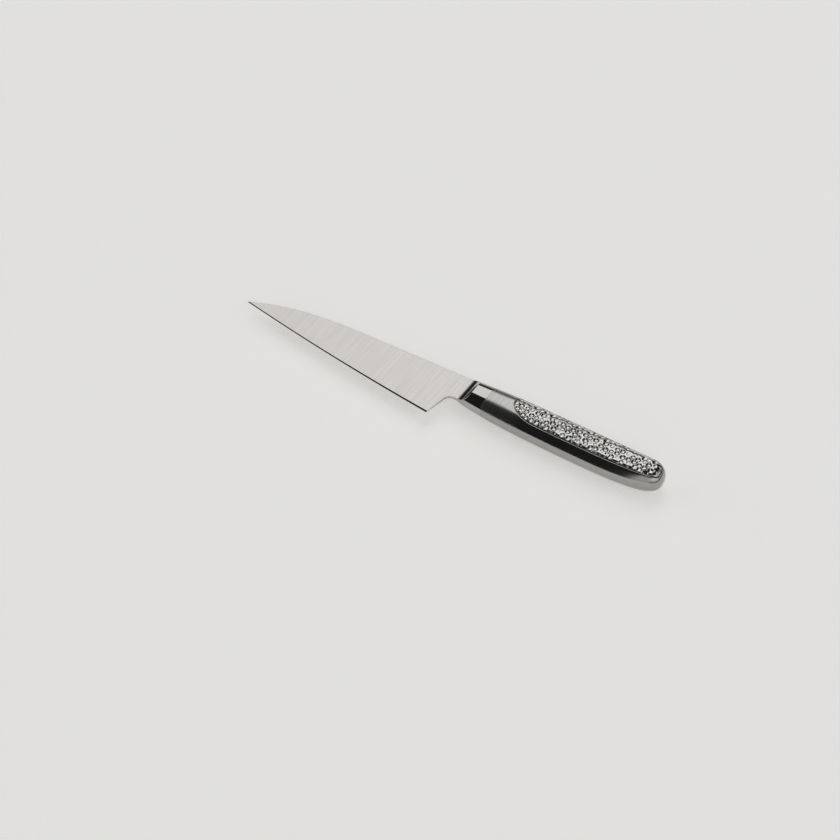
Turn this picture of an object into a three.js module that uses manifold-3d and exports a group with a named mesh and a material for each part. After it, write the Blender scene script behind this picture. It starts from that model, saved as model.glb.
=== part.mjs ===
// Paring knife lying on its right cheek: forged blade, two handle shells, two hammered grip plates and a core.
import * as THREE from "three";
import { mergeVertices } from "three/addons/utils/BufferGeometryUtils.js";
import Module from "manifold-3d";

// All sizes are millimetres: x runs from the bolster's front to the butt, y up to the spine, z out of the left cheek.
// Heights called a drop are measured down from the straight top line of the handle.

// Blade outline
const BLADE_LENGTH = 110;
const TIP_DROP = 13.5;
const TIP_ANGLE = 25;
const BEND_SETBACK = 52;
const BEND_DROP = 2.55;
const SHOULDER_DROP = 1.07;
const HEEL_SETBACK = 5.95;
const HEEL_DROP = 26.65;
const HEEL_LEAN = 10.8;
const NOTCH_REACH = 3;
const EDGE_BELLY = 1;

// Blade thickness and grind
const SPINE_THICKNESS = 2;
const HEEL_THICKNESS = 0.58;
const TIP_THICKNESS = 0.39;
const BEVEL_ANGLE = 20;
const EDGE_LAND = 0.08;
const SCOOP_RADIUS = 6.8;

// Handle outline and thickness
const NECK_LENGTH = 13.3;
const HANDLE_END = 95.1;
const NECK_DROP = 13.6;
const BELLY_DROP = 16.75;
const BELLY_AT = 60;
const TOP_RUN = 30;
const BUTT_DROP = 8.3;
const TOP_CORNER = 9.6;
const CHEEK_CORNER = 9;
const NECK_THICKNESS = 8.8;
const HANDLE_THICKNESS = 11;
const CROWN_FLAT = 0.3;
const FULL_AT = 36;
const CORNER_POWER = 2.55;
const SECTION_POWER = 2.2;

// Shells, grip plates and core
const SHELL_WALL = 1;
const POCKET_DEPTH = 1;
const PLATE_SEAT = 0.15;
const PLATE_GROOVE = 0.35;
const PLATE_FRONT = 24.5;
const PLATE_FRONT_DROP = 4.6;
const PLATE_FRONT_CORNER = 2.6;
const PLATE_SWEEP = 13.5;
const PLATE_RIM = 1.45;
const PLATE_BELLY_RIM = 3.7;
const PLATE_POWER = 2.2;
const SPIGOT_LENGTH = 8;
const TANG_LENGTH = 40;
const TANG_HEIGHT = 6.5;
const TANG_END_HEIGHT = 4.5;
const TANG_THICKNESS = 2.4;
const FIT_GAP = 0.3;

// Hammered dents
const DENT_PITCH = 2.5;
const DENT_SCATTER = 0.22;
const DENT_DEPTH = 0.34;
const DENT_SPREAD = 0.18;
const DENT_BOWL = 2.1;

// Facets
const RING_POINTS = 36;
const HIDDEN_POINTS = 20;
const LONG_STEPS = 12;
const BUTT_STEPS = 8;
const OUTLINE_STEPS = 34;
const CLEAR = 20;

const wasm = await Module();
wasm.setup();

// Solids and meshes
function solid(geometry) {
  const bare = geometry.clone();
  bare.deleteAttribute("normal");
  bare.deleteAttribute("uv");
  const merged = mergeVertices(bare, 1e-4);
  const triVerts = new Uint32Array(merged.index.array);
  const vertProperties = merged.attributes.position.array;
  return new wasm.Manifold(new wasm.Mesh({ numProp: 3, vertProperties, triVerts }));
}

function named(name, body, color, roughness) {
  const made = body.getMesh();
  const geometry = new THREE.BufferGeometry();
  geometry.setAttribute("position", new THREE.BufferAttribute(made.vertProperties, 3));
  geometry.setIndex(new THREE.BufferAttribute(made.triVerts, 1));
  geometry.computeVertexNormals();
  const metalness = name === "balance_core" ? 0 : 1;
  const mesh = new THREE.Mesh(geometry, new THREE.MeshStandardMaterial({ color, roughness, metalness }));
  mesh.name = name;
  return mesh;
}

// Closed geometry from points and triangles, turned so that its faces point out
function closed(points, faces) {
  let volume = 0;
  for (let i = 0; i < faces.length; i += 3) {
    const [a, b, c] = [points[faces[i]], points[faces[i + 1]], points[faces[i + 2]]];
    volume += a.dot(new THREE.Vector3().crossVectors(b, c));
  }
  const geometry = new THREE.BufferGeometry().setFromPoints(points);
  return geometry.setIndex(volume < 0 ? faces.reverse() : faces);
}

// Skin through rings of equal length, with a flat cap at each end
function loft(rings) {
  const count = rings[0].length;
  const last = (rings.length - 1) * count;
  const faces = [];
  for (let base = 0; base < last; base += count) {
    for (let i = 0; i < count; i += 1) {
      const a = base + i;
      const b = base + ((i + 1) % count);
      faces.push(a, b, b + count, a, b + count, a + count);
    }
  }
  for (let i = 1; i < count - 1; i += 1) {
    faces.push(0, i + 1, i, last, last + i, last + i + 1);
  }
  return solid(closed(rings.flat(), faces));
}

function mirrored(geometry) {
  const turned = geometry.clone().scale(1, 1, -1);
  const faces = geometry.index ? [...geometry.index.array] : [...geometry.attributes.position.array.keys()];
  return turned.setIndex(faces.slice(0, geometry.index ? faces.length : faces.length / 3).reverse());
}

function extruded(shape, low, high, curveSegments) {
  const depth = high - low;
  return new THREE.ExtrudeGeometry(shape, { depth, bevelEnabled: false, curveSegments }).translate(0, 0, low);
}

// Quarter of a superellipse: 1 before it starts at u = 0, down to 0 at u = 1
function roundOff(u, power) {
  return u <= 0 ? 1 : (1 - Math.min(u, 1) ** power) ** (1 / power);
}

// Handle form: top line, belly line and half thickness at x, each drawn in by an inset
function handleTop(x, inset) {
  const dip = SHOULDER_DROP * Math.max(0, 1 - x / TOP_RUN) ** 1.5;
  const u = (x - HANDLE_END + TOP_CORNER) / (TOP_CORNER - inset);
  return (BUTT_DROP - dip - inset) * roundOff(u, CORNER_POWER) - BUTT_DROP;
}

function handleBottom(x, inset, endInset = inset) {
  const drop = BELLY_DROP - (BELLY_DROP - NECK_DROP) * Math.max(0, 1 - x / BELLY_AT) ** 3;
  const u = (x - BELLY_AT) / (HANDLE_END - BELLY_AT - endInset);
  return (BUTT_DROP - drop + inset) * roundOff(u, CORNER_POWER) - BUTT_DROP;
}

// The round form stands out past the flat crown of the cheek that the knife lies on
function handleHalf(x, inset) {
  const full = HANDLE_THICKNESS / 2 + CROWN_FLAT;
  const slim = (full - NECK_THICKNESS / 2) * Math.max(0, 1 - x / FULL_AT) ** 2;
  const u = (x - HANDLE_END + CHEEK_CORNER) / (CHEEK_CORNER - inset);
  return (full - slim - inset) * roundOff(u, CORNER_POWER);
}

function underCrown(z, inset) {
  const crown = HANDLE_THICKNESS / 2 - inset;
  return Math.max(-crown, Math.min(crown, z));
}

function handleRing(x, inset, count) {
  const middle = (handleTop(x, inset) + handleBottom(x, inset)) / 2;
  const high = handleTop(x, inset) - middle;
  const half = handleHalf(x, inset);
  const bend = (value) => Math.sign(value) * Math.abs(value) ** (2 / SECTION_POWER);
  return Array.from({ length: count }, (_, i) => {
    const turn = (2 * Math.PI * i) / count;
    const wide = i % (count / 2) ? underCrown(half * bend(Math.sin(turn)), inset) : 0;
    return new THREE.Vector3(x, middle + high * bend(Math.cos(turn)), wide);
  });
}

// Height of the outer cheek above the middle plane
function cheek(x, y) {
  const middle = (handleTop(x, 0) + handleBottom(x, 0)) / 2;
  const share = Math.abs(y - middle) / (handleTop(x, 0) - middle);
  return underCrown(handleHalf(x, 0) * roundOff(share, SECTION_POWER), 0);
}

// Solid handle form from x = start to the butt, drawn in by an inset
function handleForm(start, inset, count) {
  const straight = HANDLE_END - TOP_CORNER;
  const rings = [];
  for (let k = 0; k <= LONG_STEPS; k += 1) {
    rings.push(handleRing(start + ((straight - start) * k) / LONG_STEPS, inset, count));
  }
  for (let k = 1; k <= BUTT_STEPS; k += 1) {
    const reach = Math.sin((k / BUTT_STEPS) * (Math.PI / 2));
    rings.push(handleRing(straight + (TOP_CORNER - inset - 0.01) * reach, inset, count));
  }
  return loft(rings);
}

// Short piece of the handle form between two stations
function handleSlice(start, end, inset, count) {
  const steps = 5;
  const rings = [];
  for (let k = 0; k <= steps; k += 1) {
    rings.push(handleRing(start + ((end - start) * k) / steps, inset, count));
  }
  return loft(rings);
}

// Grip plate outline, drawn in by an inset all round
function plateLine(x, inset, upper) {
  const end = PLATE_RIM + inset;
  const line = upper ? handleTop(x, end) : handleBottom(x, PLATE_BELLY_RIM + inset, end);
  const run = (upper ? PLATE_FRONT_CORNER : PLATE_SWEEP) - inset;
  const u = (PLATE_FRONT + inset + run - x) / run;
  return (line + PLATE_FRONT_DROP) * roundOff(u, PLATE_POWER) - PLATE_FRONT_DROP;
}

function platePrism(inset) {
  const front = PLATE_FRONT + inset;
  const rear = HANDLE_END - PLATE_RIM - inset - 0.01;
  const at = (k) => front + (rear - front) * (0.5 - 0.5 * Math.cos((Math.PI * k) / OUTLINE_STEPS));
  const points = [];
  for (let k = 0; k <= OUTLINE_STEPS; k += 1) {
    points.push(new THREE.Vector2(at(k), plateLine(at(k), inset, false)));
  }
  for (let k = OUTLINE_STEPS; k > 0; k -= 1) {
    points.push(new THREE.Vector2(at(k), plateLine(at(k), inset, true)));
  }
  return extruded(new THREE.Shape(points), 0, CLEAR, 1);
}

// Hammered dents: equal bowls at the points of a triangular net, each point shifted and sunk by a fixed scatter
function scatter(i, j, seed) {
  const wave = Math.sin(12.9898 * i + 78.233 * j + 37.719 * seed) * 43758.5453;
  return wave - Math.floor(wave) - 0.5;
}

function dentAt(i, j) {
  const x = PLATE_FRONT + DENT_PITCH * (i + (j % 2) / 2 + 2 * DENT_SCATTER * scatter(i, j, 1));
  const y = -DENT_PITCH * (j * Math.sqrt(0.75) + 2 * DENT_SCATTER * scatter(i, j, 2));
  return { x, y, depth: DENT_DEPTH + 2 * DENT_SPREAD * scatter(i, j, 3) };
}

const dentColumns = Math.ceil((HANDLE_END - PLATE_FRONT) / DENT_PITCH);
const dentRows = Math.ceil(BELLY_DROP / DENT_PITCH / Math.sqrt(0.75));
const dents = [];
for (let j = 0; j <= dentRows; j += 1) {
  for (let i = -1; i <= dentColumns; i += 1) {
    dents.push(dentAt(i, j));
  }
}

function dentDepth(x, y) {
  const depths = dents.map((dent) => dent.depth - ((x - dent.x) ** 2 + (y - dent.y) ** 2) / (2 * DENT_BOWL));
  return Math.max(0, ...depths);
}

// Block whose top is the dented cheek: each triangle of the net is split at its middle and its sides
function dentedBlock() {
  const points = [];
  const faces = [];
  const known = new Map();
  const put = (x, y) => {
    const key = x.toFixed(4) + "," + y.toFixed(4);
    if (!known.has(key)) {
      known.set(key, points.length);
      points.push(new THREE.Vector3(x, y, cheek(x, y) - dentDepth(x, y)));
    }
    return known.get(key);
  };
  const middle = (...corners) => {
    const total = corners.reduce((sum, corner) => ({ x: sum.x + corner.x, y: sum.y + corner.y }));
    return put(total.x / corners.length, total.y / corners.length);
  };
  const net = (a, b, c) => {
    const hub = middle(a, b, c);
    [[a, b], [b, c], [c, a]].forEach(([from, to]) => {
      const side = middle(from, to);
      faces.push(put(from.x, from.y), side, hub, side, put(to.x, to.y), hub);
    });
  };
  for (let j = 0; j < dentRows; j += 1) {
    for (let i = -1; i < dentColumns; i += 1) {
      const [a, b] = [dentAt(i, j), dentAt(i + 1, j)];
      const [c, d] = [dentAt(i, j + 1), dentAt(i + 1, j + 1)];
      const even = j % 2 === 0;
      net(a, even ? c : d, b);
      net(even ? b : a, c, d);
    }
  }
  return solid(thickened(points, faces, -1));
}

// Closed block under a sheet of triangles, down to one level
function thickened(points, faces, level) {
  const under = points.map((p) => new THREE.Vector3(p.x, p.y, level));
  const count = points.length;
  const all = [...faces];
  const open = new Map();
  for (let i = 0; i < faces.length; i += 3) {
    const [a, b, c] = faces.slice(i, i + 3);
    all.push(c + count, b + count, a + count);
    [[a, b], [b, c], [c, a]].forEach(([from, to]) => {
      if (!open.delete(to + " " + from)) {
        open.set(from + " " + to, [from, to]);
      }
    });
  }
  open.forEach(([from, to]) => {
    all.push(to, from, from + count, to, from + count, to + count);
  });
  return closed([...points, ...under], all);
}

// Flat of the blade as a plane: half thickness at a place on the side view
const heel = new THREE.Vector2(-HEEL_SETBACK, -HEEL_DROP);
const tip = new THREE.Vector2(-BLADE_LENGTH, -TIP_DROP);
const shoulder = new THREE.Vector2(0, -SHOULDER_DROP);
const toHeel = heel.clone().sub(shoulder);
const toTip = tip.clone().sub(shoulder);
const heelLoss = (HEEL_THICKNESS - SPINE_THICKNESS) / 2;
const tipLoss = (TIP_THICKNESS - SPINE_THICKNESS) / 2;
const area = toHeel.x * toTip.y - toHeel.y * toTip.x;
const slopeX = (heelLoss * toTip.y - tipLoss * toHeel.y) / area;
const slopeY = (tipLoss * toHeel.x - heelLoss * toTip.x) / area;

// Cutter for one side of the blade: the flat, then the hollow that sweeps out to the bolster
function grindCutter() {
  const profile = new THREE.Shape();
  profile.moveTo(-BLADE_LENGTH - CLEAR, 0);
  profile.lineTo(0, 0);
  profile.absarc(0, SCOOP_RADIUS, SCOOP_RADIUS, -Math.PI / 2, 0, false);
  profile.lineTo(SCOOP_RADIUS, CLEAR);
  profile.lineTo(-BLADE_LENGTH - CLEAR, CLEAR);
  const along = new THREE.Vector3(1, 0, slopeX).normalize();
  const out = new THREE.Vector3(-slopeX, -slopeY, 1).normalize();
  const across = new THREE.Vector3().crossVectors(along, out);
  const place = new THREE.Matrix4().makeBasis(along, out, across);
  place.setPosition(0, -SHOULDER_DROP, SPINE_THICKNESS / 2);
  return extruded(profile, -CLEAR, HEEL_DROP + CLEAR, 16).applyMatrix4(place);
}

// Cutter for one side of the sharpened edge, run along the edge line and past both its ends
function bevelCutter(edge) {
  const rise = Math.tan(THREE.MathUtils.degToRad(BEVEL_ANGLE));
  const steps = 24;
  const rings = [];
  for (let k = -1; k <= steps + 1; k += 1) {
    const t = THREE.MathUtils.clamp(k / steps, 0, 1);
    const ahead = edge.getTangent(t);
    const foot = edge.getPoint(t).addScaledVector(ahead, (k / steps - t) * steps);
    const inward = new THREE.Vector2(ahead.y, -ahead.x);
    const corner = (depth, z) => new THREE.Vector3(foot.x + inward.x * depth, foot.y + inward.y * depth, z);
    const low = EDGE_LAND / 2 - rise;
    const high = EDGE_LAND / 2 + 3 * rise;
    rings.push([corner(-1, low), corner(3, high), corner(-1, high)]);
  }
  return rings;
}

// Blade, bolster, spigot and tang as one forging
function forging() {
  const bend = new THREE.Vector2(-BEND_SETBACK, -BEND_DROP);
  const fall = (BEND_DROP - SHOULDER_DROP) / BEND_SETBACK;
  const tipRise = Math.tan(THREE.MathUtils.degToRad(TIP_ANGLE));
  const curve = BLADE_LENGTH - BEND_SETBACK;
  const chord = heel.clone().sub(tip);
  const belly = new THREE.Vector2(chord.y, -chord.x).setLength(2 * EDGE_BELLY);
  const control = heel.clone().add(tip).multiplyScalar(0.5).add(belly);
  const lean = new THREE.Vector2(Math.tan(THREE.MathUtils.degToRad(HEEL_LEAN)), 1);
  const notch = heel.clone().addScaledVector(lean, HEEL_DROP - NECK_DROP);
  const buried = NECK_LENGTH / 2;

  const outline = new THREE.Shape();
  outline.moveTo(heel.x, heel.y);
  outline.quadraticCurveTo(control.x, control.y, tip.x, tip.y);
  outline.bezierCurveTo(
    tip.x + curve / 4,
    tip.y + (tipRise * curve) / 4,
    bend.x - curve / 2,
    bend.y - (fall * curve) / 2,
    bend.x,
    bend.y,
  );
  outline.lineTo(shoulder.x, shoulder.y);
  outline.lineTo(buried, shoulder.y - FIT_GAP);
  outline.lineTo(buried, FIT_GAP - NECK_DROP);
  outline.lineTo(notch.x + NOTCH_REACH, notch.y);
  outline.quadraticCurveTo(notch.x, notch.y, notch.x - lean.x * NOTCH_REACH, notch.y - NOTCH_REACH);
  outline.lineTo(heel.x, heel.y);

  const neck = handleSlice(0, NECK_LENGTH, 0, RING_POINTS);
  const spigot = handleSlice(buried, NECK_LENGTH + SPIGOT_LENGTH, SHELL_WALL + FIT_GAP, HIDDEN_POINTS);
  const edge = new THREE.QuadraticBezierCurve(heel, control, tip);
  const bevel = bevelCutter(edge);
  const cutter = grindCutter();
  return solid(extruded(outline, -SPINE_THICKNESS, SPINE_THICKNESS, 24))
    .add(neck)
    .subtract(solid(cutter))
    .subtract(solid(mirrored(cutter)))
    .subtract(loft(bevel))
    .subtract(loft(bevel.map((ring) => ring.map((p) => new THREE.Vector3(p.x, p.y, -p.z)))))
    .add(spigot)
    .add(tang(0));
}

// Stick tang behind the spigot, grown all round by a gap
function tang(gap) {
  const start = NECK_LENGTH + SPIGOT_LENGTH / 2;
  const end = NECK_LENGTH + SPIGOT_LENGTH + TANG_LENGTH + gap;
  const shape = new THREE.Shape([
    new THREE.Vector2(start, -BUTT_DROP - TANG_HEIGHT / 2 - gap),
    new THREE.Vector2(end, -BUTT_DROP - TANG_END_HEIGHT / 2 - gap),
    new THREE.Vector2(end, -BUTT_DROP + TANG_END_HEIGHT / 2 + gap),
    new THREE.Vector2(start, -BUTT_DROP + TANG_HEIGHT / 2 + gap),
  ]);
  return solid(extruded(shape, -TANG_THICKNESS / 2 - gap, TANG_THICKNESS / 2 + gap, 1));
}

// Left shell: half of the handle form, hollow, with a pocket for the plate and a floor under the pocket
function shellHalf() {
  const size = 2 * (HANDLE_END + CLEAR);
  const half = solid(new THREE.BoxGeometry(size, size, size).translate(0, 0, size / 2));
  const pocket = solid(platePrism(0)).subtract(handleForm(NECK_LENGTH, POCKET_DEPTH, RING_POINTS));
  const boss = solid(platePrism(-SHELL_WALL));
  const ahead = NECK_LENGTH - 1;
  const deep = handleForm(ahead, POCKET_DEPTH + SHELL_WALL, HIDDEN_POINTS);
  const hollow = handleForm(ahead, SHELL_WALL, HIDDEN_POINTS).subtract(boss).add(deep);
  return handleForm(NECK_LENGTH, 0, RING_POINTS).intersect(half).subtract(hollow).subtract(pocket);
}

function gripPlate() {
  const floor = handleForm(NECK_LENGTH, POCKET_DEPTH - PLATE_SEAT, RING_POINTS);
  return dentedBlock().intersect(solid(platePrism(PLATE_GROOVE))).subtract(floor);
}

function core() {
  const inset = SHELL_WALL + POCKET_DEPTH + FIT_GAP;
  const start = NECK_LENGTH + SPIGOT_LENGTH + FIT_GAP;
  return handleForm(start, inset, HIDDEN_POINTS).subtract(tang(FIT_GAP));
}

// Named pieces: the right cheek is the left one mirrored in the middle plane
const shell = named("handle_shell_left", shellHalf(), 0xb9b8b4, 0.32);
const plate = named("grip_plate_left", gripPlate(), 0xc6c6c4, 0.12);
const opposite = (mesh, name) => named(name, solid(mirrored(mesh.geometry)), mesh.material.color, mesh.material.roughness);

const knife = new THREE.Group();
knife.name = "paring_knife";
knife.add(named("blade", forging(), 0xcbccca, 0.3));
knife.add(shell);
knife.add(opposite(shell, "handle_shell_right"));
knife.add(plate);
knife.add(opposite(plate, "grip_plate_right"));
knife.add(named("balance_core", core(), 0x8d8578, 0.9));

// Origin under the middle of the lying knife
const box = new THREE.Box3().setFromObject(knife);
const centre = box.getCenter(new THREE.Vector3());
knife.position.set(-centre.x, -centre.y, -box.min.z);

export default knife;
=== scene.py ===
# %% [markdown]
# # A paring knife with a hollow steel handle
# The knife is made of few pieces. One forging holds the blade, the polished neck behind it and a tang
# that is hidden in the handle. Two pressed half shells close round the tang, and each shell carries a
# hammered grip plate in a shallow pocket. A filler inside the handle balances the blade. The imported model
# is loaded first. It stays where it is, and every piece below is placed in its frame.

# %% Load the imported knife
import bpy
import bmesh
import math
import numpy as np
from mathutils import Matrix, Vector


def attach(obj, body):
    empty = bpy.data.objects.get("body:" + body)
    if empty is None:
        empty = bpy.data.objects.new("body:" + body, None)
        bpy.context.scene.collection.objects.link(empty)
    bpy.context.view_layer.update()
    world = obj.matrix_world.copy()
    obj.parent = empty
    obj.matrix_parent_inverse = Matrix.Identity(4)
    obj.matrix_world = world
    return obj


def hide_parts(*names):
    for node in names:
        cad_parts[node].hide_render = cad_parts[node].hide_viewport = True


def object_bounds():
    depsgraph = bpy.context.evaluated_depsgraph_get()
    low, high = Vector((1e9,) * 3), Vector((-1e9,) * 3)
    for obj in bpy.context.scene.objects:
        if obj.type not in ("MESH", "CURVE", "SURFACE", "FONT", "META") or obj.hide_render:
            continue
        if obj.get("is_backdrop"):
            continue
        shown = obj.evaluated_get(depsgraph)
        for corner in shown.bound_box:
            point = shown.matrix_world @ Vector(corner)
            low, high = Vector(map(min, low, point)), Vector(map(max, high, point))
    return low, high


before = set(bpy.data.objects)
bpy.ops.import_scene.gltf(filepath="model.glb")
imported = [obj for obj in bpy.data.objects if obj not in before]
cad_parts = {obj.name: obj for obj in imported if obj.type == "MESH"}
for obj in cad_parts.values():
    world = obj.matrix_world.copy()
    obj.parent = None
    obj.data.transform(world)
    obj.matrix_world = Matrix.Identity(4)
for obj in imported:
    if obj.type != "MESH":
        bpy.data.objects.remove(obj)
cad_low, cad_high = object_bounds()
scene = bpy.context.scene
scene.view_settings.view_transform = "Standard"
print("nodes:", sorted(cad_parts))
print("size in mm:", [round(1000 * side, 2) for side in cad_high - cad_low])

# %% [markdown]
# ## The camera
# The view comes first, because it decides which details matter. The knife was seen from its right front,
# a little under half way up to the zenith, with a slight roll. A camera's own axes are its columns:
# right, up and back. Two angles give the back axis, and the roll then turns the other two about it. The
# focal length is known in pixels of the square picture, so it is turned into millimetres on Blender's
# sensor.

# %% Camera
PICTURE_SIDE = 840
FOCAL_PIXELS = 1798.7
SENSOR_WIDTH = 36
CAMERA_PLACE = Vector((0.29751, -0.43393, 0.54665))
CAMERA_TURN = math.radians(35.424)
CAMERA_LIFT = math.radians(46.698)
CAMERA_ROLL = math.radians(-1.893)


def camera_axes(turn, lift, roll):
    """Right, up and back axes: back from two angles, then right and up turned about it by the roll."""
    back = Vector((math.sin(turn) * math.cos(lift), -math.cos(turn) * math.cos(lift), math.sin(lift)))
    level = Vector((math.cos(turn), math.sin(turn), 0))
    upright = back.cross(level)
    right = math.cos(roll) * level + math.sin(roll) * upright
    return right, back.cross(right), back


camera_data = bpy.data.cameras.new("camera")
camera_data.sensor_width = SENSOR_WIDTH
camera_data.lens = SENSOR_WIDTH * FOCAL_PIXELS / PICTURE_SIDE
camera = bpy.data.objects.new("camera", camera_data)
scene.collection.objects.link(camera)
axes = Matrix([*camera_axes(CAMERA_TURN, CAMERA_LIFT, CAMERA_ROLL)]).transposed()
camera.matrix_world = Matrix.LocRotScale(CAMERA_PLACE, axes.to_quaternion(), None)
scene.camera = camera
print("lens:", round(camera_data.lens, 2), "mm")

# %% [markdown]
# ## From drawing to mesh
# The sizes below are millimetres on the maker's side view: x runs from the front of the neck to the butt,
# y is measured from the straight top line of the handle, and z is the distance from the middle plane. A
# grid of such points becomes a mesh in one step. Rows that shrink to a point or lie on each other are
# then merged, which closes poles and ends, and edges sharper than a given angle are kept sharp while the
# rest is shaded smooth.

# %% Helpers for grids of points
BLADE_LENGTH = 110
HEEL_DROP = 26.65
HANDLE_THICKNESS = 11
MM = 0.001
MERGE_DISTANCE = 2e-7
DRAWING_ORIGIN = np.array(cad_low) + MM * np.array([BLADE_LENGTH, HEEL_DROP, HANDLE_THICKNESS / 2])


def crowded(count):
    """Shares from 0 to 1, crowded towards both ends by a cosine."""
    return 0.5 - 0.5 * np.cos(np.linspace(0, np.pi, count))


def ring_faces(stations, around):
    """Corner numbers of the faces between neighbouring rings of points, each closed from last to first."""
    number = np.arange(stations * around).reshape(stations, around)
    number = np.hstack([number, number[:, :1]])
    corners = [number[:-1, :-1], number[1:, :-1], number[1:, 1:], number[:-1, 1:]]
    return np.stack(corners, axis=-1).reshape(-1, 4)


def new_piece(name, rings, sharp_angle, **masks):
    """Object from rings of drawing points (stations, around, 3), with one float attribute for each mask."""
    mesh = bpy.data.meshes.new(name)
    mesh.from_pydata(rings.reshape(-1, 3) * MM + DRAWING_ORIGIN, [], ring_faces(*rings.shape[:2]))
    for mask, values in masks.items():
        attribute = mesh.attributes.new(mask, "FLOAT", "POINT")
        attribute.data.foreach_set("value", values.ravel().astype(np.float32))
    work = bmesh.new()
    work.from_mesh(mesh)
    bmesh.ops.remove_doubles(work, verts=work.verts, dist=MERGE_DISTANCE)
    bmesh.ops.dissolve_degenerate(work, edges=work.edges, dist=MERGE_DISTANCE)
    bmesh.ops.recalc_face_normals(work, faces=work.faces)
    work.to_mesh(mesh)
    work.free()
    mesh.shade_smooth()
    mesh.set_sharp_from_angle(angle=math.radians(sharp_angle))
    piece = bpy.data.objects.new(name, mesh)
    scene.collection.objects.link(piece)
    print(name, "has", len(mesh.vertices), "points and", len(mesh.polygons), "faces")
    return piece


def mirrored(grid):
    """The same points on the other side of the middle plane."""
    return grid * np.array([1, 1, -1])


# %% [markdown]
# ## The handle's form
# A hollow handle like this is pressed from sheet, so it has no flat sides: it is an oval that swells from
# the neck to the palm and closes in a blunt butt. Three lines describe it, the top, the belly and the
# half thickness, each a function of x. A superellipse rounds the corners, since its power says how square
# a corner is. The cheek is the surface over a place on the side view. Its crown is flat, so that the
# knife lies still on a table.

# %% Handle lines
SHOULDER_DROP = 1.07
NECK_LENGTH = 13.3
HANDLE_END = 95.1
NECK_DROP = 13.6
BELLY_DROP = 16.75
BELLY_AT = 60
TOP_RUN = 30
BUTT_DROP = 8.3
TOP_CORNER = 9.6
CHEEK_CORNER = 9
NECK_THICKNESS = 8.8
CROWN_FLAT = 0.3
CROWN_BLEND = 0.16
FULL_AT = 36
CORNER_POWER = 2.55
SECTION_POWER = 2.2
DIP_POWER = 1.5
LEAST_HEIGHT = 1e-6


def round_off(u, power):
    """Quarter of a superellipse: 1 up to u = 0, then (1 - u^power)^(1/power), down to 0 at u = 1."""
    return (1 - np.clip(u, 0, 1) ** power) ** (1 / power)


def soft_min(a, b, blend):
    """The smaller of two heights, rounded where they differ by less than the blend."""
    near = np.clip(blend - np.abs(a - b), 0, None) / blend
    return np.minimum(a, b) - near**2 * blend / 4


def handle_top(x, inset=0):
    """Top line: straight, dipped towards the neck, rounded down to the middle of the butt."""
    dip = SHOULDER_DROP * np.clip(1 - x / TOP_RUN, 0, None) ** DIP_POWER
    u = (x - HANDLE_END + TOP_CORNER) / (TOP_CORNER - inset)
    return (BUTT_DROP - dip - inset) * round_off(u, CORNER_POWER) - BUTT_DROP


def handle_bottom(x, inset=0, end_inset=None):
    """Belly line: sinks by a cubic from the neck to the belly, then rises in one long round to the butt."""
    end = inset if end_inset is None else end_inset
    drop = BELLY_DROP - (BELLY_DROP - NECK_DROP) * np.clip(1 - x / BELLY_AT, 0, None) ** 3
    u = (x - BELLY_AT) / (HANDLE_END - BELLY_AT - end)
    return (BUTT_DROP - drop + inset) * round_off(u, CORNER_POWER) - BUTT_DROP


def handle_half(x, inset=0):
    """Half thickness of the oval before its crown is made flat: swells from the neck by a square law."""
    full = HANDLE_THICKNESS / 2 + CROWN_FLAT
    slim = (full - NECK_THICKNESS / 2) * np.clip(1 - x / FULL_AT, 0, None) ** 2
    u = (x - HANDLE_END + CHEEK_CORNER) / (CHEEK_CORNER - inset)
    return (full - slim - inset) * round_off(u, CORNER_POWER)


def cheek(x, y, inset=0):
    """Height of the surface over (x, y): a superellipse across the handle, cut by the flat crown."""
    top, bottom = handle_top(x, inset), handle_bottom(x, inset)
    share = np.abs(2 * y - top - bottom) / np.maximum(top - bottom, LEAST_HEIGHT)
    oval = handle_half(x, inset) * round_off(share, SECTION_POWER)
    return soft_min(oval, HANDLE_THICKNESS / 2 - inset, CROWN_BLEND)


belly_height = float(handle_top(BELLY_AT) - handle_bottom(BELLY_AT))
print("handle is", round(belly_height, 2), "mm high at the belly")

# %% [markdown]
# ## The blade and its neck
# Blade, neck and tang are one forging, so they are one mesh with no joint between them. It could be cut
# from solids with booleans, but the ridge where the hollow grind runs out into the neck would then be
# faceted, and a mirror polish shows every facet. Here the left face is a height over the side view: the
# flat taper of the blade, plus a quarter circle that sweeps out of it behind the heel, cut off by the
# oval of the neck and by the sharpened bevel. Stations run along x and rows run from the edge up to the
# spine, and the right face is the same with z turned.

# %% Blade outline
TIP_DROP = 13.5
TIP_ANGLE = math.radians(25)
BEND_SETBACK = 52
BEND_DROP = 2.55
HEEL_SETBACK = 5.95
HEEL_LEAN = math.tan(math.radians(10.8))
NOTCH_REACH = 3
EDGE_BELLY = 1

tip = np.array([-BLADE_LENGTH, -TIP_DROP])
heel = np.array([-HEEL_SETBACK, -HEEL_DROP])
bend = np.array([-BEND_SETBACK, -BEND_DROP])
shoulder = np.array([0, -SHOULDER_DROP])
notch = heel + (HEEL_DROP - NECK_DROP) * np.array([HEEL_LEAN, 1])


def bezier(corners, count=400):
    """Points of a Bezier curve: each corner weighted by its Bernstein polynomial in t."""
    t = np.linspace(0, 1, count)[:, None]
    order = len(corners) - 1
    weights = [math.comb(order, k) * t**k * (1 - t) ** (order - k) for k in range(order + 1)]
    return sum(weight * np.asarray(corner) for weight, corner in zip(weights, corners))


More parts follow.
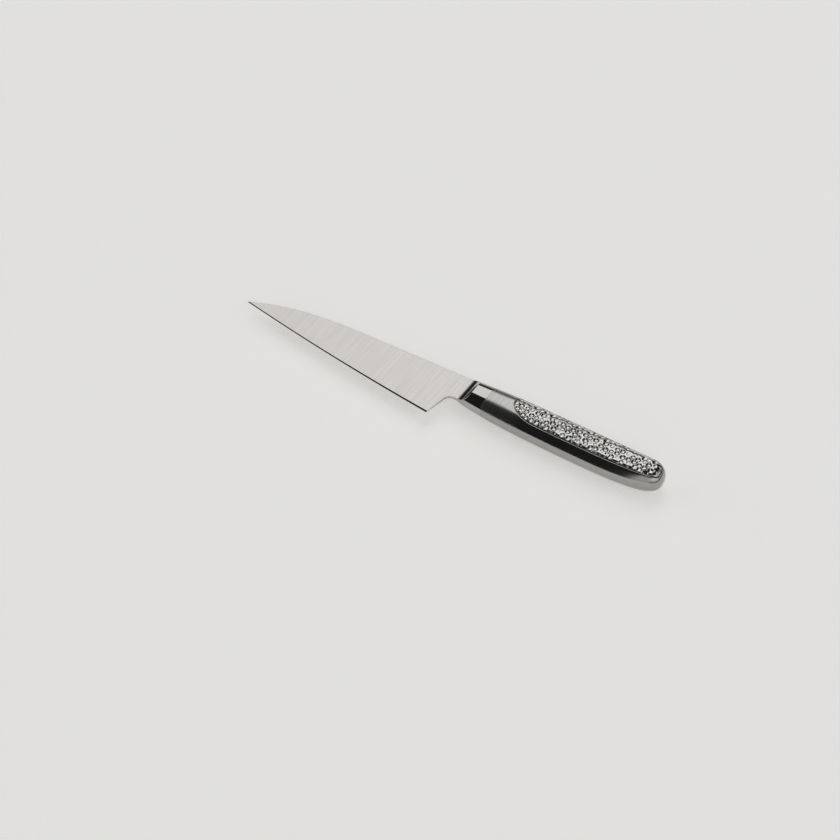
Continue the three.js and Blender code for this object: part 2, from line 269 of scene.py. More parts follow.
chord = heel - tip
belly = 2 * EDGE_BELLY * np.array([chord[1], -chord[0]]) / np.hypot(*chord)
edge_control = (heel + tip) / 2 + belly
edge_points = bezier([tip, edge_control, heel])
run = BLADE_LENGTH - BEND_SETBACK
fall = (BEND_DROP - SHOULDER_DROP) / BEND_SETBACK
spine_start = tip + run / 4 * np.array([1, math.tan(TIP_ANGLE)])
spine_points = bezier([tip, spine_start, bend - run / 2 * np.array([1, fall]), bend])
notch_low = notch - NOTCH_REACH * np.array([HEEL_LEAN, 1])
notch_points = bezier([notch_low, notch, notch + np.array([NOTCH_REACH, 0])])


def edge_line(x):
    """Cutting edge, carried on straight behind the heel so that the bevel can run out there."""
    slope = (heel - edge_control)[1] / (heel - edge_control)[0]
    return np.interp(x, *edge_points.T) + slope * np.clip(x + HEEL_SETBACK, 0, None)


def lower_line(x):
    """Lower outline: edge, the leaning back of the heel, the round notch, then the belly of the neck."""
    ahead = np.vstack([edge_points, notch_points, [[0, -NECK_DROP]]])
    return np.where(x < 0, np.interp(x, *ahead.T), handle_bottom(x))


def upper_line(x):
    """Upper outline: the dropped spine, the straight back, then the top of the neck."""
    ahead = np.vstack([spine_points, shoulder])
    return np.where(x < 0, np.interp(x, *ahead.T), handle_top(x))


print("blade is", round(float(upper_line(heel[0]) - heel[1]), 2), "mm high at the heel")

# %% Heights over the side view
SPINE_THICKNESS = 2
HEEL_THICKNESS = 0.58
TIP_THICKNESS = 0.39
BEVEL_RISE = math.tan(math.radians(20))
EDGE_LAND = 0.08
SCOOP_RADIUS = 6.8
RIDGE_BLEND = 0.3
WEB_RUN = 7
SPINE_EASE = 0.3
JOINT_EASE = 0.035
BEVEL_LEAST = 0.0005
BEVEL_MOST = 0.6

losses = np.array([HEEL_THICKNESS - SPINE_THICKNESS, TIP_THICKNESS - SPINE_THICKNESS]) / 2
taper = np.linalg.solve(np.array([heel - shoulder, tip - shoulder]), losses)


def flat_half(x, y):
    """Half thickness of the flat grind: a plane through the spine at the neck, the heel and the tip."""
    return SPINE_THICKNESS / 2 + taper[0] * x + taper[1] * (y + SHOULDER_DROP)


def scoop(x):
    """Quarter circle that sweeps out of the flat behind x = 0; past its radius it no longer cuts."""
    inside = SCOOP_RADIUS - np.sqrt(np.clip(SCOOP_RADIUS**2 - np.clip(x, 0, None) ** 2, 0, None))
    return np.where(x < SCOOP_RADIUS, inside, HANDLE_THICKNESS)


def neck_half(x, y):
    """Oval of the neck, joined to the flat spine by a web that fades out, with an eased rear edge."""
    fade = np.clip(x / WEB_RUN, 0, 1)
    web = SPINE_THICKNESS / 2 * (1 - fade**2 * (3 - 2 * fade))
    ease = JOINT_EASE * np.clip((x - NECK_LENGTH) / JOINT_EASE + 1, 0, 1) ** 2
    return np.where(x < 0, HANDLE_THICKNESS, np.hypot(cheek(x, y) - ease, web))


def bevel_half(x, y):
    """Sharpened bevel: rises from half the land at the edge by the bevel's slope."""
    return EDGE_LAND / 2 + BEVEL_RISE * chord[0] / np.hypot(*chord) * (y - edge_line(x))


def rows_up(x, on_bevel, above):
    """Heights of rows over x: two rows climb the bevel, the rest share what is left above it."""
    low, high = lower_line(x), upper_line(x)
    start = flat_half(x, edge_line(x)) - EDGE_LAND / 2
    foot = start / (BEVEL_RISE - taper[1]) - (low - edge_line(x))
    foot = np.clip(foot, BEVEL_LEAST * (high - low), BEVEL_MOST * (high - low))
    return low + foot * on_bevel + (high - low - foot) * above


print("taper of the flat:", np.round(taper, 5))

# %% Stations of the forging
FORGING_ROWS = 72
BEVEL_ROWS = 2
BLADE_STATIONS = 180
HEEL_STATIONS = 60
NOTCH_STATIONS = 64
SCOOP_STATIONS = 80
NECK_STATIONS = 40
JOINT_STATIONS = 4
SCOOP_CROWDING = 1.7
NECK_CROWDING = 1.9
HALVINGS = 40
RIDGE_LEAST = 0.8

on_bevel = np.clip(np.arange(FORGING_ROWS) / BEVEL_ROWS, 0, 1)
above_bevel = np.concatenate([[0] * BEVEL_ROWS, crowded(FORGING_ROWS - BEVEL_ROWS)])


def ridge_at():
    """Where the scoop meets the neck on each row, found by halving the run between them many times."""
    low, high = np.zeros(FORGING_ROWS), np.full(FORGING_ROWS, float(SCOOP_RADIUS))
    for _ in range(HALVINGS):
        x = (low + high) / 2
        y = rows_up(x, on_bevel, above_bevel)
        past = flat_half(x, y) + scoop(x) > neck_half(x, y)
        low, high = np.where(past, low, x), np.where(past, x, high)
    return np.maximum(high, RIDGE_LEAST)


def forging_stations():
    """Stations from tip to neck end: straight across the blade, bent to the ridge on the neck."""
    along_blade = -BLADE_LENGTH + (BLADE_LENGTH - HEEL_SETBACK) * crowded(BLADE_STATIONS)
    heel_back = np.linspace(heel[0], notch_low[0], HEEL_STATIONS)[1:]
    round_notch = np.linspace(notch_low[0], 0, NOTCH_STATIONS)[1:]
    straight = np.concatenate([along_blade, heel_back, round_notch])[:, None] + 0 * on_bevel
    ridge, last = ridge_at(), NECK_LENGTH - JOINT_EASE
    in_scoop = ridge * (1 - np.linspace(1, 0, SCOOP_STATIONS)[1:, None] ** SCOOP_CROWDING)
    on_neck = ridge + (last - ridge) * np.linspace(0, 1, NECK_STATIONS)[1:, None] ** NECK_CROWDING
    joint = np.linspace(last, NECK_LENGTH, JOINT_STATIONS)[1:, None] + 0 * on_bevel
    return np.concatenate([straight, in_scoop, on_neck, joint])


print("ridge is at most", round(float(ridge_at().max()), 2), "mm behind the blade")

# %% Forging
SHELL_WALL = 1
FIT_GAP = 0.3
SPIGOT_LENGTH = 8
TANG_LENGTH = 40
TANG_HEIGHT = 6.5
TANG_END_HEIGHT = 4.5
TANG_THICKNESS = 2.4
SPIGOT_STATIONS = 6
TANG_STATIONS = 5
FIRST_ROW = 0.001
SPINE_LEAST = 0.4
SCOOP_POLISH = 3
SCOOP_SHINE = 0.7
HONED_SOFT = 0.02


def blade_and_neck():
    """Left face from tip to neck end as points, with masks for the polished neck and the honed bevel."""
    x = forging_stations()
    y = rows_up(x, on_bevel, above_bevel)
    ground, neck, bevel = flat_half(x, y) + scoop(x), neck_half(x, y), bevel_half(x, y)
    z = np.minimum(soft_min(ground, neck, RIDGE_BLEND), bevel)
    near = np.clip(1 - (upper_line(x) - y) / SPINE_EASE, 0, 1)
    ease = SPINE_EASE * (1 - np.sqrt(1 - near**2)) * np.clip(1 - x / WEB_RUN, 0, 1)
    z = np.maximum(z - ease, SPINE_LEAST * z)
    z[0] = 0
    in_scoop = np.clip(x / SCOOP_POLISH, 0, 1)
    shine = SCOOP_SHINE * in_scoop**2 * (3 - 2 * in_scoop)
    polish = np.maximum((ground - neck) / RIDGE_BLEND + 0.5, shine)
    honed = np.clip((flat_half(x, y) - bevel) / HONED_SOFT + 1, 0, 1)
    return np.stack([x, y, z], axis=-1), np.clip(polish, 0, 1), honed


def spigot_and_tang():
    """Hidden rear of the forging: a spigot in the shells' mouth, then a flat tang that tapers."""
    spigot = np.linspace(NECK_LENGTH, NECK_LENGTH + SPIGOT_LENGTH, SPIGOT_STATIONS)
    inset = SHELL_WALL + FIT_GAP
    tang = spigot[-1] + np.linspace(0, TANG_LENGTH, TANG_STATIONS)
    taper_ends = [spigot[-1] - SPIGOT_LENGTH / 2, tang[-1]]
    half = np.interp(tang, taper_ends, [TANG_HEIGHT / 2, TANG_END_HEIGHT / 2])
    x = np.concatenate([spigot, tang, tang[-1:]])[:, None] + 0 * on_bevel
    low = np.concatenate([handle_bottom(spigot, inset), -BUTT_DROP - half, -BUTT_DROP - half[-1:]])
    high = np.concatenate([handle_top(spigot, inset), -BUTT_DROP + half, -BUTT_DROP + half[-1:]])
    y = low[:, None] + (high - low)[:, None] * (FIRST_ROW * on_bevel + (1 - FIRST_ROW) * above_bevel)
    z = np.where(x <= spigot[-1], cheek(x, y, inset), TANG_THICKNESS / 2)
    z[len(spigot)] = TANG_THICKNESS / 2
    z[-1] = 0
    return np.stack([x, y, z], axis=-1)


front, polish, honed = blade_and_neck()
rear = spigot_and_tang()
left_face = np.concatenate([front, rear])
plain = np.zeros(rear.shape[:2])
masks = {"polish": np.vstack([polish, plain + 1]), "honed": np.vstack([honed, plain])}
both_faces = np.concatenate([left_face, mirrored(left_face)[:, ::-1]], axis=1)
masks = {name: np.hstack([mask, mask[:, ::-1]]) for name, mask in masks.items()}
forging = new_piece("forged_blade", both_faces, sharp_angle=38, **masks)
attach(forging, "root")
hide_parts("blade")

# %% [markdown]
# ## The handle shells
# Each shell is half of the handle, pressed from sheet, with a pocket in its cheek for the grip plate.
# Solidify could thicken one outer skin, but at the blunt butt the wall of the pocket would come out
# through the skin. So each shell is a closed ring at every station. It climbs from the belly seam, drops
# into the pocket, crosses its floor, climbs out, runs on to the top seam, and comes back along a plain
# inner wall. Ahead of the pocket and behind it the pocket's rows shrink to one point, so the same ring
# closes itself. The outline turns tightly at the pocket's ends, so its stations crowd there, by the step
# t^3 (10 - 15 t + 6 t^2).

# %% Outline of the grip plate and its pocket
PLATE_FRONT = 24.5
PLATE_FRONT_DROP = 4.6
PLATE_FRONT_CORNER = 2.6
PLATE_SWEEP = 13.5
PLATE_RIM = 1.45
PLATE_BELLY_RIM = 3.7
PLATE_POWER = 2.2
PLATE_REAR = HANDLE_END - PLATE_RIM


def plate_line(x, inset, upper):
    """Plate outline: the handle's line drawn in by its rim, swept together to one point at the front."""
    end = PLATE_RIM + inset
    line = handle_top(x, end) if upper else handle_bottom(x, PLATE_BELLY_RIM + inset, end)
    run = (PLATE_FRONT_CORNER if upper else PLATE_SWEEP) - inset
    u = (PLATE_FRONT + inset + run - x) / run
    return (line + PLATE_FRONT_DROP) * round_off(u, PLATE_POWER) - PLATE_FRONT_DROP


def plate_stations(share, inset):
    """Stations along the plate for shares from 0 to 1, for the outline drawn in by an inset."""
    return PLATE_FRONT + inset + (PLATE_REAR - PLATE_FRONT - 2 * inset) * share


print("plate is", round(PLATE_REAR - PLATE_FRONT, 2), "mm long")

# %% Stations of a shell
POCKET_STATIONS = 330
SLEEVE_STATIONS = 56
BUTT_STATIONS = 26
RIM_EASE = 0.45
SLEEVE_CROWDING = 1.4
FRONT_FAN = 2
BUTT_FAN = 0.8
NEAR_END = 1e-8

even = np.linspace(0, 1, POCKET_STATIONS)[1:-1]
smoother = even**3 * (10 - 15 * even + 6 * even**2)
pocket_share = np.concatenate([[NEAR_END], smoother, [1 - NEAR_END]])
sleeve_run = PLATE_FRONT - RIM_EASE - NECK_LENGTH
butt_run = HANDLE_END - PLATE_REAR - RIM_EASE
ahead = NECK_LENGTH + sleeve_run * np.linspace(0, 1, SLEEVE_STATIONS) ** SLEEVE_CROWDING
behind = HANDLE_END - butt_run * np.linspace(1, 0, BUTT_STATIONS) ** 2
in_pocket = np.concatenate([0 * ahead, 0 * pocket_share + 1, 0 * behind])[:, None]


def pocket_x(inset):
    """Stations on the pocket's outline drawn in by an inset, with those ahead of it and behind it."""
    return np.concatenate([ahead, plate_stations(pocket_share, inset), behind])[:, None]


def pocket_y(inset, upper):
    """Heights on the pocket's outline; ahead of it and behind it both its lines run on at one height."""
    outline = plate_line(plate_stations(pocket_share, inset), inset, upper)
    return np.concatenate([0 * ahead - PLATE_FRONT_DROP, outline, 0 * behind - BUTT_DROP])[:, None]


def seam_x(upper):
    """Stations on the seam, as even as those on the pocket's outline, so strips fan out round its ends."""
    x = plate_stations(pocket_share, -RIM_EASE)
    step = np.hypot(np.diff(x), np.diff(plate_line(x, -RIM_EASE, upper)))
    walked = np.concatenate([[0], np.cumsum(step)]) / np.sum(step)
    first, last = x[0] - FRONT_FAN, x[-1] + BUTT_FAN
    before = np.interp(ahead, [NECK_LENGTH, x[0]], [NECK_LENGTH, first])
    after = np.interp(behind, [x[-1], HANDLE_END], [last, HANDLE_END])
    return np.concatenate([before, first + (last - first) * walked, after])[:, None]


print("a shell has", len(in_pocket), "stations")

# %% Skin of a shell
POCKET_DEPTH = 1
BELLY_ROWS = 34
TOP_ROWS = 26
RIM_ROWS = 7
FLOOR_ROWS = 7


def on_skin(x, y, sunk=0):
    """Points on the handle's surface or sunk below it, with a small round at the mouth."""
    ease = JOINT_EASE * np.clip(1 - (x - NECK_LENGTH) / JOINT_EASE, 0, 1) ** 2
    return np.stack([x, y, cheek(x, y, ease) - sunk], axis=-1)


def flank(upper, count):
    """Rows from a seam to the pocket's rim, on straight lines over the side view."""
    t = np.linspace(0, 1, count) ** 2
    x, y = seam_x(upper), (handle_top if upper else handle_bottom)(seam_x(upper))
    points = on_skin(x + (pocket_x(-RIM_EASE) - x) * t, y + (pocket_y(-RIM_EASE, upper) - y) * t)
    points[:, 0, 2] = 0
    return points


def pocket_rim(upper):
    """Rows over the rounded rim of the pocket and down its wall: a quarter circle, then a straight drop."""
    turns = np.linspace(0, np.pi / 2, RIM_ROWS)[1:]
    insets = [*(RIM_EASE * (np.sin(turns) - 1)), 0]
    drops = [*(RIM_EASE * (1 - np.cos(turns))), POCKET_DEPTH]
    rows = []
    for inset, drop in zip(insets, drops):
        rows.append(on_skin(pocket_x(inset), pocket_y(inset, upper), in_pocket * drop))
    return np.concatenate(rows, axis=1)


def pocket_floor():
    """Rows across the floor of the pocket, from its lower to its upper wall."""
    across = np.linspace(0, 1, FLOOR_ROWS)[1:-1]
    low, high = pocket_y(0, False), pocket_y(0, True)
    return on_skin(pocket_x(0) + 0 * across, low + (high - low) * across, in_pocket * POCKET_DEPTH)


lower_half = [flank(False, BELLY_ROWS), pocket_rim(False), pocket_floor()]
upper_half = [flank(True, TOP_ROWS), pocket_rim(True)]
skin = np.concatenate(lower_half + [half[:, ::-1] for half in upper_half[::-1]], axis=1)
print("skin of a shell has", skin.shape[0] * skin.shape[1], "points")

# %% Shells
WALL_GROWS = 21.5
BUTT_FLAT = 0.01


def inner_wall(share):
    """Inside of a shell: the handle's form drawn in by the wall, which grows to hold the pocket's floor."""
    x = pocket_x(0)
    grown = np.clip((x - WALL_GROWS) / (PLATE_FRONT - WALL_GROWS), 0, 1)
    wall = SHELL_WALL + POCKET_DEPTH * grown**2 * (3 - 2 * grown)
    x = NECK_LENGTH + (x - NECK_LENGTH) * (HANDLE_END - wall - NECK_LENGTH) / (HANDLE_END - NECK_LENGTH)
    low, high = handle_bottom(x, wall), handle_top(x, wall)
    y = low + (high - low) * share
    z = np.where((share > 0) & (share < 1), cheek(x + 0 * share, y, wall), 0)
    return np.stack([x + 0 * share, y, z], axis=-1)


mouth_y = skin[0, :, 1]
inside = inner_wall((mouth_y - mouth_y[0]) / (mouth_y[-1] - mouth_y[0]))
outer = np.concatenate([inside[:1], skin])
inner = np.concatenate([inside[:1], inside])[:, ::-1]
rings = np.concatenate([outer, inner], axis=1)
rings[..., 0] = np.minimum(rings[..., 0], HANDLE_END - BUTT_FLAT)
shells = []
for side, points in (("left", rings), ("right", mirrored(rings))):
    shell = new_piece("pressed_shell_" + side, points, sharp_angle=40)
    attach(shell, "root")
    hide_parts("handle_shell_" + side)
    shells.append(shell)

# %% [markdown]
# ## The hammered grip plates
# The plates are struck all over with a small round-faced hammer. Each blow leaves a bowl of one
# curvature, some are deeper than others, and where two of them touch they meet in a sharp little ridge. A
# bump texture would leave the outline smooth and would fail at a flat angle, so the bowls are real. They
# sit on a triangular net whose points are shifted and sunk by a fixed scatter, and the plate's height is
# lowered by the deepest bowl at each place. A soft maximum rounds the ridges a little, as polishing does.

# %% Dents
DENT_PITCH = 2.5
DENT_SCATTER = 0.22
DENT_DEPTH = 0.34
DENT_SPREAD = 0.18
DENT_BOWL = 2.1
DENT_SOFTNESS = 0.014
NET_ROW = math.sqrt(0.75)
SCATTER_WAVES = (12.9898, 78.233, 37.719)
SCATTER_GAIN = 43758.5453


def scatter(i, j, seed):
    """Fixed scatter from -0.5 to 0.5: the fraction of a large sine."""
    by_column, by_row, by_seed = SCATTER_WAVES
    wave = np.sin(by_column * i + by_row * j + by_seed * seed) * SCATTER_GAIN
    return wave - np.floor(wave) - 0.5


def dent_depth(x, y):
    """Depth below the cheek: soft maximum of 0 and every bowl's depth - distance^2 / (2 bowl radius)."""
    columns = math.ceil((HANDLE_END - PLATE_FRONT) / DENT_PITCH)
    rows = math.ceil(BELLY_DROP / DENT_PITCH / NET_ROW)
    i, j = [part.ravel() for part in np.mgrid[-1 : columns + 1, 0 : rows + 1]]
    dent_x = PLATE_FRONT + DENT_PITCH * (i + (j % 2) / 2 + 2 * DENT_SCATTER * scatter(i, j, 1))
    dent_y = -DENT_PITCH * (j * NET_ROW + 2 * DENT_SCATTER * scatter(i, j, 2))
    depth = DENT_DEPTH + 2 * DENT_SPREAD * scatter(i, j, 3)
    total = np.ones_like(x)
    for place_x, place_y, deep in zip(dent_x, dent_y, depth):
        bowl = deep - ((x - place_x) ** 2 + (y - place_y) ** 2) / (2 * DENT_BOWL)
        total += np.exp(bowl / DENT_SOFTNESS)
    return DENT_SOFTNESS * np.log(total)


print("deepest dent is at most", round(DENT_DEPTH + DENT_SPREAD, 2), "mm")

# %% Grip plates
PLATE_GROOVE = 0.35
PLATE_SEAT = 0.15
PLATE_EASE = 0.12
PLATE_STATIONS = 600
PLATE_ROWS = 94
EASE_ROWS = 4
BACK_ROWS = 7


def hammered_plate():
    """Left plate as a ring at each station: dented face, eased borders, sides and the plain back."""
    share = crowded(PLATE_STATIONS)

    def border(inset, upper):
        """Stations and heights of the upper or lower border, drawn in by an inset."""
        x = plate_stations(share, inset)[:, None]
        return x, plate_line(x, inset, upper)

    def eased(upper):
        """Rows of a quarter circle over one border, as heights below the face."""
        rows = []
        for turn in np.linspace(0, np.pi / 2, EASE_ROWS)[:-1]:
            x, y = border(PLATE_GROOVE + PLATE_EASE * (1 - np.cos(turn)), upper)
            rows.append(np.stack([x, y, -PLATE_EASE * (1 - np.sin(turn)) + 0 * x], axis=-1))
        return np.concatenate(rows, axis=1)

    across = np.linspace(0, 1, PLATE_ROWS)
    x, low = border(PLATE_GROOVE + PLATE_EASE, False)
    high = border(PLATE_GROOVE + PLATE_EASE, True)[1]
    face = np.stack([x + 0 * across, low + (high - low) * across, 0 * x + 0 * across], axis=-1)
    outer = np.concatenate([eased(False), face, eased(True)[:, ::-1]], axis=1)
    outer[..., 2] += cheek(outer[..., 0], outer[..., 1]) - dent_depth(outer[..., 0], outer[..., 1])
    x, low = border(PLATE_GROOVE, False)
    high = border(PLATE_GROOVE, True)[1]
    back = np.linspace(1, 0, BACK_ROWS)
    y = low + (high - low) * back
    x = x + 0 * back
    back_face = np.stack([x, y, cheek(x, y) - POCKET_DEPTH + PLATE_SEAT], axis=-1)
    return np.concatenate([outer, back_face], axis=1)


plate_points = hammered_plate()
plates = []
for side, points in (("left", plate_points), ("right", mirrored(plate_points))):
    plate = new_piece("hammered_plate_" + side, points, sharp_angle=60)
    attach(plate, "root")
    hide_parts("grip_plate_" + side)
    plates.append(plate)

# %% [markdown]
# ## Writing shader maths
# A material is a tree of nodes, and its sums are easier to read as Python. The class below wraps one
# socket: the operators add Math nodes, and one method adds any other node from its type, its settings and
# its inputs.

# %% Wire class
class Wire:
    """One output socket of a node tree. Sums with numbers and other wires add Math nodes."""

    def __init__(self, tree, socket=None):
        self.tree, self.socket = tree, socket

    def node(self, kind, settings=None, inputs=None, output=0):
        """Adds a node: settings first, then inputs as values or wires. Returns one of its outputs."""
        made = self.tree.nodes.new(kind)
        for name, value in (settings or {}).items():
            setattr(made, name, value)
        for name, value in (inputs or {}).items():
            if isinstance(value, Wire):
                self.tree.links.new(value.socket, made.inputs[name])
            else:
                made.inputs[name].default_value = value
        return Wire(self.tree, made.outputs[output])

    def math(self, operation, first, second):
        """Math node on two wires or numbers."""
        return self.node("ShaderNodeMath", {"operation": operation}, {0: first, 1: second})

    def __add__(self, other):
        return self.math("ADD", self, other)

    def __rsub__(self, other):
        return self.math("SUBTRACT", other, self)

    def __mul__(self, other):
        return self.math("MULTIPLY", self, other)

    __radd__ = __add__
    __rmul__ = __mul__

    def step(self, low, high):
        """Smooth step: 0 below low, 1 above high."""
        bounds = {"Value": self, "From Min": low, "From Max": high}
        return self.node("ShaderNodeMapRange", {"interpolation_type": "SMOOTHSTEP"}, bounds)

    def between(self, low, high, soft):
        """1 from low to high, 0 outside, with ends that are soft over twice the given width."""
        return self.step(low - soft, low + soft) * (1 - self.step(high - soft, high + soft))

    def stretched(self, scales):
        """Vector scaled along each axis, so that a round noise becomes streaks."""
        return self.node("ShaderNodeVectorMath", {"operation": "MULTIPLY"}, {0: self, 1: scales})

    def noise(self, detail=2.0):
        """Noise from 0 to 1 over a vector, with features about one unit across."""
        return self.node("ShaderNodeTexNoise", {}, {"Vector": self, "Scale": 1.0, "Detail": detail}, "Fac")

    def blend(self, first, second):
        """Colour mixed from first to second by this wire."""
        inputs = {0: self, 6: first, 7: second}
        return self.node("ShaderNodeMix", {"data_type": "RGBA"}, inputs, 2)

    def bump(self, strength, distance):
        """Normal bent by this wire, taken as a height."""
        inputs = {"Strength": strength, "Distance": distance, "Height": self}
        return self.node("ShaderNodeBump", {}, inputs, "Normal")


def new_material(name, metallic=0.0):
    """Empty material with its Principled shader, and a wire of Object coordinates to start from."""
    material = bpy.data.materials.new(name)
    material.use_nodes = True
    tree = material.node_tree
    shader = tree.nodes["Principled BSDF"]
    shader.inputs["Metallic"].default_value = metallic
    place = Wire(tree).node("ShaderNodeTexCoord", output="Object")
    return material, shader, place


def plug(wire, shader, name):
    """Links a wire to a socket of the shader."""
    wire.tree.links.new(wire.socket, shader.inputs[name])


# %% [markdown]
# ## Steel finishes
# All the metal is one stainless steel, and only the finish differs. The flats of the blade are satin,
# brushed from the spine to the edge on a fine belt. The neck is mirror polished, the scoop ahead of it is
# polished more and more towards it, and the bevel is honed, which the two attributes on the forging mark.
# The shells are brushed, round the sleeve and lengthwise on the flanks. Brushing is noise stretched into
# streaks: it varies the tone and the roughness a little and bends the light through a very low bump.

# %% Blade steel
def tone(value, warmth=0.0):
    """Grey of one value as a colour with an alpha, a little warmer or cooler."""
    return (value, value * (1 - warmth / 2), value * (1 - warmth), 1.0)


BLADE_WARMTH = 0.07
SATIN_DARK = tone(0.38, BLADE_WARMTH)
SATIN_LIGHT = tone(0.68, BLADE_WARMTH)
POLISHED = tone(0.46, BLADE_WARMTH)
BELT_SCALE = (5200.0, 90.0, 90.0)
STREAK_SCALE = (2200.0, 40.0, 40.0)
STREAK_DETAIL = 4.0
BELT_SHARE = 0.3
MIRROR_ROUGH = 0.06
SATIN_ROUGH = 0.2
HONED_ROUGH = 0.05
BRUSH_DEPTH = 0.00002

blade_steel, shader, place = new_material("satin_and_polished_steel", metallic=1.0)
polish = place.node("ShaderNodeAttribute", {"attribute_name": "polish"}, output="Fac")
honed = place.node("ShaderNodeAttribute", {"attribute_name": "honed"}, output="Fac")
satin = (1 - polish) * (1 - honed)
belt = place.stretched(BELT_SCALE).noise()
streaks = place.stretched(STREAK_SCALE).noise(STREAK_DETAIL)
ground = (BELT_SHARE * belt + (1 - BELT_SHARE) * streaks).blend(SATIN_DARK, SATIN_LIGHT)
plug(polish.blend(ground, POLISHED), shader, "Base Color")
plug(MIRROR_ROUGH + satin * (SATIN_ROUGH + 0.06 * belt) + HONED_ROUGH * honed, shader, "Roughness")
plug((belt * satin).bump(0.05, BRUSH_DEPTH), shader, "Normal")
forging.data.materials.append(blade_steel)
print(blade_steel.name, "has", len(blade_steel.node_tree.nodes), "nodes")

# %% Handle steel
HANDLE_WARMTH = 0.05
HANDLE_DARK = tone(0.3, HANDLE_WARMTH)
HANDLE_LIGHT = tone(0.52, HANDLE_WARMTH)
SLEEVE_END = 26
SLEEVE_FADE = 10
ROUND_SCALE = (4200.0, 130.0, 130.0)
LONG_SCALE = (70.0, 3000.0, 3000.0)

handle_steel, shader, place = new_material("brushed_handle_steel", metallic=1.0)
along = place.node("ShaderNodeSeparateXYZ", {}, {"Vector": place}, "X")
sleeve_end = MM * SLEEVE_END + DRAWING_ORIGIN[0]
sleeve = 1 - along.step(sleeve_end, sleeve_end + SLEEVE_FADE * MM)
round_lines = place.stretched(ROUND_SCALE).noise()
long_lines = place.stretched(LONG_SCALE).noise()
lines = sleeve * round_lines + (1 - sleeve) * long_lines
plug(lines.blend(HANDLE_DARK, HANDLE_LIGHT), shader, "Base Color")
plug(0.11 + 0.09 * sleeve + 0.08 * lines, shader, "Roughness")
plug(lines.bump(0.06, BRUSH_DEPTH), shader, "Normal")
for shell in shells:
    shell.data.materials.append(handle_steel)
print(handle_steel.name, "has", len(handle_steel.node_tree.nodes), "nodes")

# %% Hammered steel
HAMMERED_DARK = tone(0.5, HANDLE_WARMTH)
HAMMERED_LIGHT = tone(0.6, HANDLE_WARMTH)
RUB_SCALE = (900.0, 2600.0, 900.0)
CLOUD_SCALE = (240.0, 240.0, 240.0)

hammered_steel, shader, place = new_material("polished_hammered_steel", metallic=1.0)
rub = place.stretched(RUB_SCALE).noise()
cloud = place.stretched(CLOUD_SCALE).noise()
plug(cloud.blend(HAMMERED_DARK, HAMMERED_LIGHT), shader, "Base Color")
plug(0.03 + 0.04 * rub, shader, "Roughness")
for plate in plates:
    plate.data.materials.append(hammered_steel)
print(hammered_steel.name, "has", len(hammered_steel.node_tree.nodes), "nodes")

# %% [markdown]
# ## The filler
# The filler is hidden, but it is part of the knife: sand set in resin, poured in to balance the blade.
# Its solid is right as it is, so it stays and only gets a material. Voronoi cells make the grains, each
# with its own shade.

# %% Filler material
GRAIN_SCALE = 2600.0
GRAIN_DEPTH = 0.0001
GRAIN_DARK = (0.2, 0.17, 0.13, 1)
GRAIN_LIGHT = (0.42, 0.38, 0.31, 1)

filler, shader, place = new_material("sand_set_in_resin")
cells = {"Vector": place, "Scale": GRAIN_SCALE}
grains = place.node("ShaderNodeTexVoronoi", {}, cells, "Color")
shade = grains.node("ShaderNodeRGBToBW", {}, {"Color": grains})
rough = place.node("ShaderNodeTexVoronoi", {}, cells, "Distance")
plug(shade.blend(GRAIN_DARK, GRAIN_LIGHT), shader, "Base Color")
plug(0.65 + 0.25 * shade, shader, "Roughness")
plug(rough.bump(0.6, GRAIN_DEPTH), shader, "Normal")
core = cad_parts["balance_core"]
core.data.materials.clear()
core.data.materials.append(filler)
print(core.name, "is finished in", filler.name)

# %% [markdown]
# ## Floor and studio light
# Polished steel looks like the room it stands in, so the light is a room. The floor is plain and pale. It
# glows a little for the camera and for mirrors, so that a pale background needs no extra light on the
# knife. The world is drawn by direction. A large soft panel stands behind the knife and gives its flats
# one even tone. Who lights cutlery also leaves gaps dark, because a dark line is what makes metal look
# like metal: here one gap runs from the panel's upper edge over the top and down towards the viewer, and
# the flank and the neck mirror it as a black band. Another is at the left end, where the scoop looks.
# Weaker lights overhead, in front and at both ends stand outside those gaps, so that the blade stays
# bright from every other side.

# %% Floor
FLOOR_HALF = 12
FLOOR_GLOW = 0.56
SEEN_BY = ("Is Camera Ray", "Is Glossy Ray", "Is Transmission Ray")
BLACK = (0, 0, 0, 1)
BOARD_DARK = (0.73, 0.725, 0.71, 1)
BOARD_LIGHT = (0.76, 0.755, 0.74, 1)
BOARD_SCALE = (300.0, 300.0, 300.0)
BOARD_DETAIL = 6.0

floor_mesh = bpy.data.meshes.new("floor")
floor_corners = FLOOR_HALF * np.array([[-1, -1, 0], [1, -1, 0], [1, 1, 0], [-1, 1, 0]])
floor_mesh.from_pydata(floor_corners, [], [(0, 1, 2, 3)])
floor = bpy.data.objects.new("floor", floor_mesh)
scene.collection.objects.link(floor)
paper, shader, place = new_material("pale_board")
grain = place.stretched(BOARD_SCALE).noise(BOARD_DETAIL)
board = grain.blend(BOARD_DARK, BOARD_LIGHT)
seen = sum(place.node("ShaderNodeLightPath", output=kind) for kind in SEEN_BY)
plug(board, shader, "Base Color")
plug(seen.blend(BLACK, board), shader, "Emission Color")
shader.inputs["Emission Strength"].default_value = FLOOR_GLOW
shader.inputs["Roughness"].default_value = 0.8
shader.inputs["Specular IOR Level"].default_value = 0.1
floor_mesh.materials.append(paper)
floor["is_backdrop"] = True
print("floor is", 2 * FLOOR_HALF, "m across")

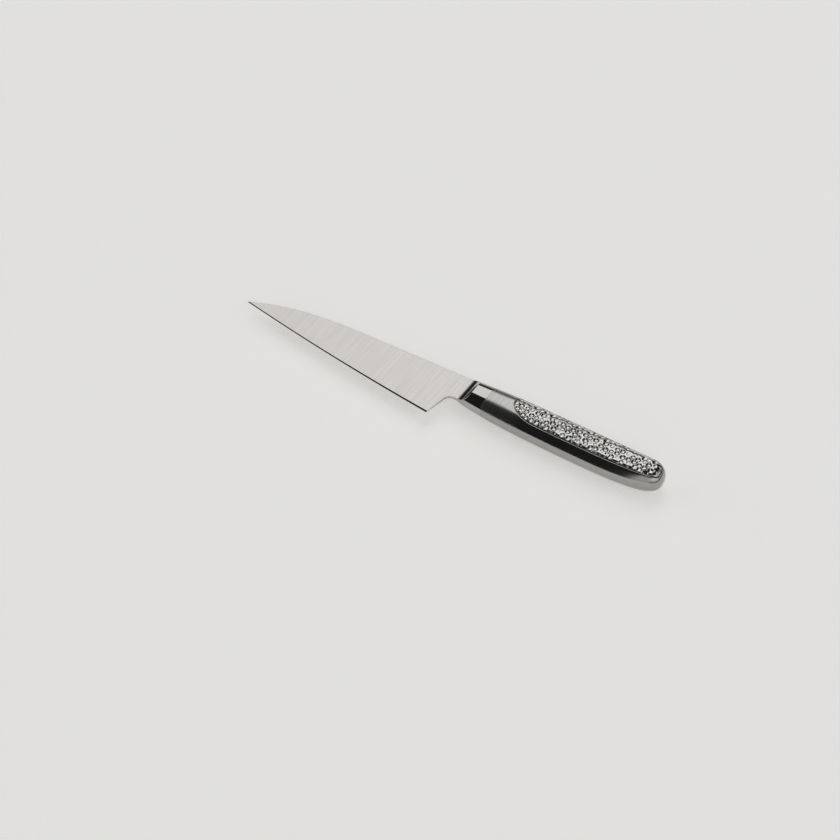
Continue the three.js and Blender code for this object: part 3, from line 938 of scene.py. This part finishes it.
# %% Studio
# A band has two ends and a softness, a fade has a start and an end. Across, depth and height are parts of a
# unit direction, and climb is an angle that starts at the floor behind the knife.
PANEL_LOW = math.radians(27)
PANEL_HIGH = math.radians(76)
OVERHEAD_END = math.radians(106)
FRONT_FROM = math.radians(125)
PANEL_CLIMB = (PANEL_LOW, PANEL_HIGH, 0.03)
PANEL_ACROSS = (-0.64, 0.02, 0.08)
LOW_FADE = (0.15, 0.3)
OVERHEAD_CLIMB = (PANEL_HIGH, OVERHEAD_END, 0.05)
OVERHEAD_ACROSS = (-0.09, 0.22, 0.07)
FRONT_FADE = (FRONT_FROM - 0.1, FRONT_FROM + 0.1)
FRONT_ACROSS = (-0.02, 0.5, 0.08)
LEFT_ACROSS = (-0.82, -0.66)
LEFT_DEPTH = (0.1, 0.3)
RIGHT_ACROSS = (0.4, 0.6)
RIGHT_DEPTH = (0.0, 0.3)
RIGHT_HEIGHT = (0.15, 0.5)
PANEL_LIGHT = 1.28
LOW_LIGHT = 0.2
OVERHEAD_LIGHT = 0.65
FRONT_LIGHT = 0.6
LEFT_LIGHT = 0.8
RIGHT_LIGHT = 1.0
ROOM_LIGHT = 0.02

world = bpy.data.worlds.new("studio")
world.use_nodes = True
scene.world = world
tree = world.node_tree
ray = Wire(tree).node("ShaderNodeTexCoord", output="Generated")
sideways = ray.node("ShaderNodeSeparateXYZ", {}, {"Vector": ray}, "X")
back = ray.node("ShaderNodeSeparateXYZ", {}, {"Vector": ray}, "Y")
up = ray.node("ShaderNodeSeparateXYZ", {}, {"Vector": ray}, "Z")
climb = up.math("ARCTAN2", up, back)
behind_knife = sideways.between(*PANEL_ACROSS)
panel = climb.between(*PANEL_CLIMB)
low = 1 - climb.step(*LOW_FADE)
overhead = sideways.between(*OVERHEAD_ACROSS) * climb.between(*OVERHEAD_CLIMB)
front = sideways.between(*FRONT_ACROSS) * climb.step(*FRONT_FADE)
left = (1 - sideways.step(*LEFT_ACROSS)) * (1 - back.step(*LEFT_DEPTH))
right = sideways.step(*RIGHT_ACROSS) * (1 - 0.4 * back.step(*RIGHT_DEPTH))
right = right * (0.3 + 0.7 * up.step(*RIGHT_HEIGHT))
strength = ROOM_LIGHT + behind_knife * (PANEL_LIGHT * panel + LOW_LIGHT * low) + OVERHEAD_LIGHT * overhead
strength = strength + FRONT_LIGHT * front + LEFT_LIGHT * left + RIGHT_LIGHT * right
tree.links.new(strength.socket, tree.nodes["Background"].inputs["Strength"])
tree.nodes["Background"].inputs["Color"].default_value = (1, 1, 1, 1)
print("studio has", len(tree.nodes), "nodes")

# %% [markdown]
# ## Size of the dressed knife
# The box of the dressed knife is printed in millimetres. The dressed knife must stay inside the
# imported model's box.

# %% Size of the dressed knife
low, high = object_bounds()
print("visual box in mm:", [round(1000 * v, 3) for v in (*low, *high)])
